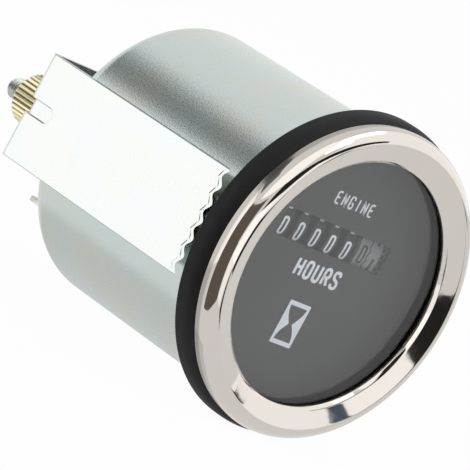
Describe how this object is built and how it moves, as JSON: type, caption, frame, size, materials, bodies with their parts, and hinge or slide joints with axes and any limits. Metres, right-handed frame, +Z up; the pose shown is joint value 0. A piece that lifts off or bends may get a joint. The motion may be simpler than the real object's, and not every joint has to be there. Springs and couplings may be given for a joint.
{
  "type": "hour meter",
  "caption": "Round panel hour meter: drawn case, bright bezel over a drum register, rubber gasket, toothed U bracket with knurled nuts on studs, blade terminals.",
  "frame": {"origin": "on the meter's axis, in the plane of the panel's front face, where the gasket seals", "axes": "+X to the dial's right, +Y to the rear along the meter's axis, +Z up the dial"},
  "size_m": [0.0582, 0.0733, 0.0582],
  "materials": {
    "zinc_plate": "zinc plated, satin",
    "bright_bezel": "bright plated",
    "clear_lens": "clear, polished",
    "black_rubber": "moulded, matt",
    "spacer_black": "moulded, matt",
    "dial_face": "printed, satin",
    "stud_steel": "zinc plated thread",
    "tinned_blade": "tinned",
    "insulator_plastic": "moulded",
    "frame_plastic": "moulded",
    "shaft_steel": "ground",
    "train_brass": "stamped and milled",
    "screw_steel": "zinc plated",
    "stator_iron": "stamped",
    "bobbin_plastic": "moulded",
    "copper_wire": "enamelled winding",
    "board_laminate": "glass-fibre laminate",
    "crystal_can": "drawn can",
    "chip_black": "moulded",
    "capacitor_sleeve": "shrunk sleeve",
    "knurled_brass": "turned and knurled",
    "drum_black": "moulded",
    "drum_white": "moulded",
    "pinion_plastic": "moulded",
    "magnet_ferrite": "sintered"
  },
  "bodies": {
    "meter": {"case": "zinc_plate", "bezel": "bright_bezel", "lens": "clear_lens", "lens_seal": "black_rubber", "spacer_ring": "spacer_black", "dial": "dial_face", "panel_gasket": "black_rubber", "mounting_studs": "stud_steel", "terminal_positive": "tinned_blade", "terminal_negative": "tinned_blade", "insulator_left": "insulator_plastic", "insulator_right": "insulator_plastic", "movement_frame": "frame_plastic", "register_shaft": "shaft_steel", "pinion_shaft": "shaft_steel", "train_bridge": "train_brass", "bridge_screws": "screw_steel", "stator": "stator_iron", "coil_bobbin": "bobbin_plastic", "coil_winding": "copper_wire", "coil_pins": "tinned_blade", "circuit_board": "board_laminate", "quartz_crystal": "crystal_can", "timer_chip": "chip_black", "capacitor": "capacitor_sleeve"},
    "bracket": {"bracket": "zinc_plate"},
    "nut_left": {"thumb_nut_left": "knurled_brass"},
    "nut_right": {"thumb_nut_right": "knurled_brass"},
    "tenths": {"tenths_drum": "drum_white"},
    "units": {"units_drum": "drum_black"},
    "tens": {"tens_drum": "drum_black"},
    "hundreds": {"hundreds_drum": "drum_black"},
    "thousands": {"thousands_drum": "drum_black"},
    "ten_thousands": {"ten_thousands_drum": "drum_black"},
    "carry_1": {"transfer_pinion_1": "pinion_plastic"},
    "carry_2": {"transfer_pinion_2": "pinion_plastic"},
    "carry_3": {"transfer_pinion_3": "pinion_plastic"},
    "carry_4": {"transfer_pinion_4": "pinion_plastic"},
    "carry_5": {"transfer_pinion_5": "pinion_plastic"},
    "second": {"second_wheel": "train_brass"},
    "first": {"first_wheel": "train_brass"},
    "rotor": {"rotor_arbor": "shaft_steel", "rotor_magnet": "magnet_ferrite"}
  },
  "joints": [
    {"name": "bracket_slide", "type": "slide", "parent": "meter", "child": "bracket", "axis": [0, 1, 0], "range_m": [0, 0.005]},
    {"name": "nut_left_turn", "type": "hinge", "parent": "bracket", "child": "nut_left", "pos_m": [-0.0204, 0.0565, 0], "axis": [0, 1, 0], "range_deg": [0, 2571.5]},
    {"name": "nut_right_turn", "type": "hinge", "parent": "bracket", "child": "nut_right", "pos_m": [0.0204, 0.0565, 0], "axis": [0, 1, 0], "range_deg": [0, 2571.5]},
    {"name": "tenths_turn", "type": "hinge", "parent": "meter", "child": "tenths", "pos_m": [0.0093, 0.00805, 0.0055], "axis": [-1, 0, 0], "continuous": true},
    {"name": "units_turn", "type": "hinge", "parent": "meter", "child": "units", "pos_m": [0.00375, 0.00805, 0.0055], "axis": [-1, 0, 0], "continuous": true},
    {"name": "tens_turn", "type": "hinge", "parent": "meter", "child": "tens", "pos_m": [-0.0003, 0.00805, 0.0055], "axis": [-1, 0, 0], "continuous": true},
    {"name": "hundreds_turn", "type": "hinge", "parent": "meter", "child": "hundreds", "pos_m": [-0.00435, 0.00805, 0.0055], "axis": [-1, 0, 0], "continuous": true},
    {"name": "thousands_turn", "type": "hinge", "parent": "meter", "child": "thousands", "pos_m": [-0.0084, 0.00805, 0.0055], "axis": [-1, 0, 0], "continuous": true},
    {"name": "ten_thousands_turn", "type": "hinge", "parent": "meter", "child": "ten_thousands", "pos_m": [-0.01245, 0.00805, 0.0055], "axis": [-1, 0, 0], "continuous": true},
    {"name": "carry_1_turn", "type": "hinge", "parent": "meter", "child": "carry_1", "pos_m": [0.00575, 0.01715, 0.0055], "axis": [-1, 0, 0], "continuous": true},
    {"name": "carry_2_turn", "type": "hinge", "parent": "meter", "child": "carry_2", "pos_m": [0.0017, 0.01715, 0.0055], "axis": [-1, 0, 0], "continuous": true},
    {"name": "carry_3_turn", "type": "hinge", "parent": "meter", "child": "carry_3", "pos_m": [-0.00235, 0.01715, 0.0055], "axis": [-1, 0, 0], "continuous": true},
    {"name": "carry_4_turn", "type": "hinge", "parent": "meter", "child": "carry_4", "pos_m": [-0.0064, 0.01715, 0.0055], "axis": [-1, 0, 0], "continuous": true},
    {"name": "carry_5_turn", "type": "hinge", "parent": "meter", "child": "carry_5", "pos_m": [-0.01045, 0.01715, 0.0055], "axis": [-1, 0, 0], "continuous": true},
    {"name": "second_turn", "type": "hinge", "parent": "meter", "child": "second", "pos_m": [0.0163, 0.01624, 0.0005], "axis": [-1, 0, 0], "continuous": true},
    {"name": "first_turn", "type": "hinge", "parent": "meter", "child": "first", "pos_m": [0.0163, 0.02814, -0.00101], "axis": [-1, 0, 0], "continuous": true},
    {"name": "rotor_turn", "type": "hinge", "parent": "meter", "child": "rotor", "pos_m": [0.0163, 0.03614, 0.00794], "axis": [-1, 0, 0], "continuous": true}
  ],
  "couplings": [
    {"joint": "nut_left_turn", "follows": "bracket_slide", "rad_per_m": 8976},
    {"joint": "nut_right_turn", "follows": "bracket_slide", "rad_per_m": 8976},
    {"joint": "units_turn", "follows": "tenths_turn", "ratio": 0.1},
    {"joint": "tens_turn", "follows": "tenths_turn", "ratio": 0.01},
    {"joint": "hundreds_turn", "follows": "tenths_turn", "ratio": 0.001},
    {"joint": "thousands_turn", "follows": "tenths_turn", "ratio": 0.0001},
    {"joint": "ten_thousands_turn", "follows": "tenths_turn", "ratio": 0.00001},
    {"joint": "carry_1_turn", "follows": "tenths_turn", "ratio": -0.25},
    {"joint": "carry_2_turn", "follows": "tenths_turn", "ratio": -0.025},
    {"joint": "carry_3_turn", "follows": "tenths_turn", "ratio": -0.0025},
    {"joint": "carry_4_turn", "follows": "tenths_turn", "ratio": -0.00025},
    {"joint": "carry_5_turn", "follows": "tenths_turn", "ratio": -0.000025},
    {"joint": "second_turn", "follows": "tenths_turn", "ratio": -3},
    {"joint": "first_turn", "follows": "tenths_turn", "ratio": 12},
    {"joint": "rotor_turn", "follows": "tenths_turn", "ratio": -48}
  ]
}
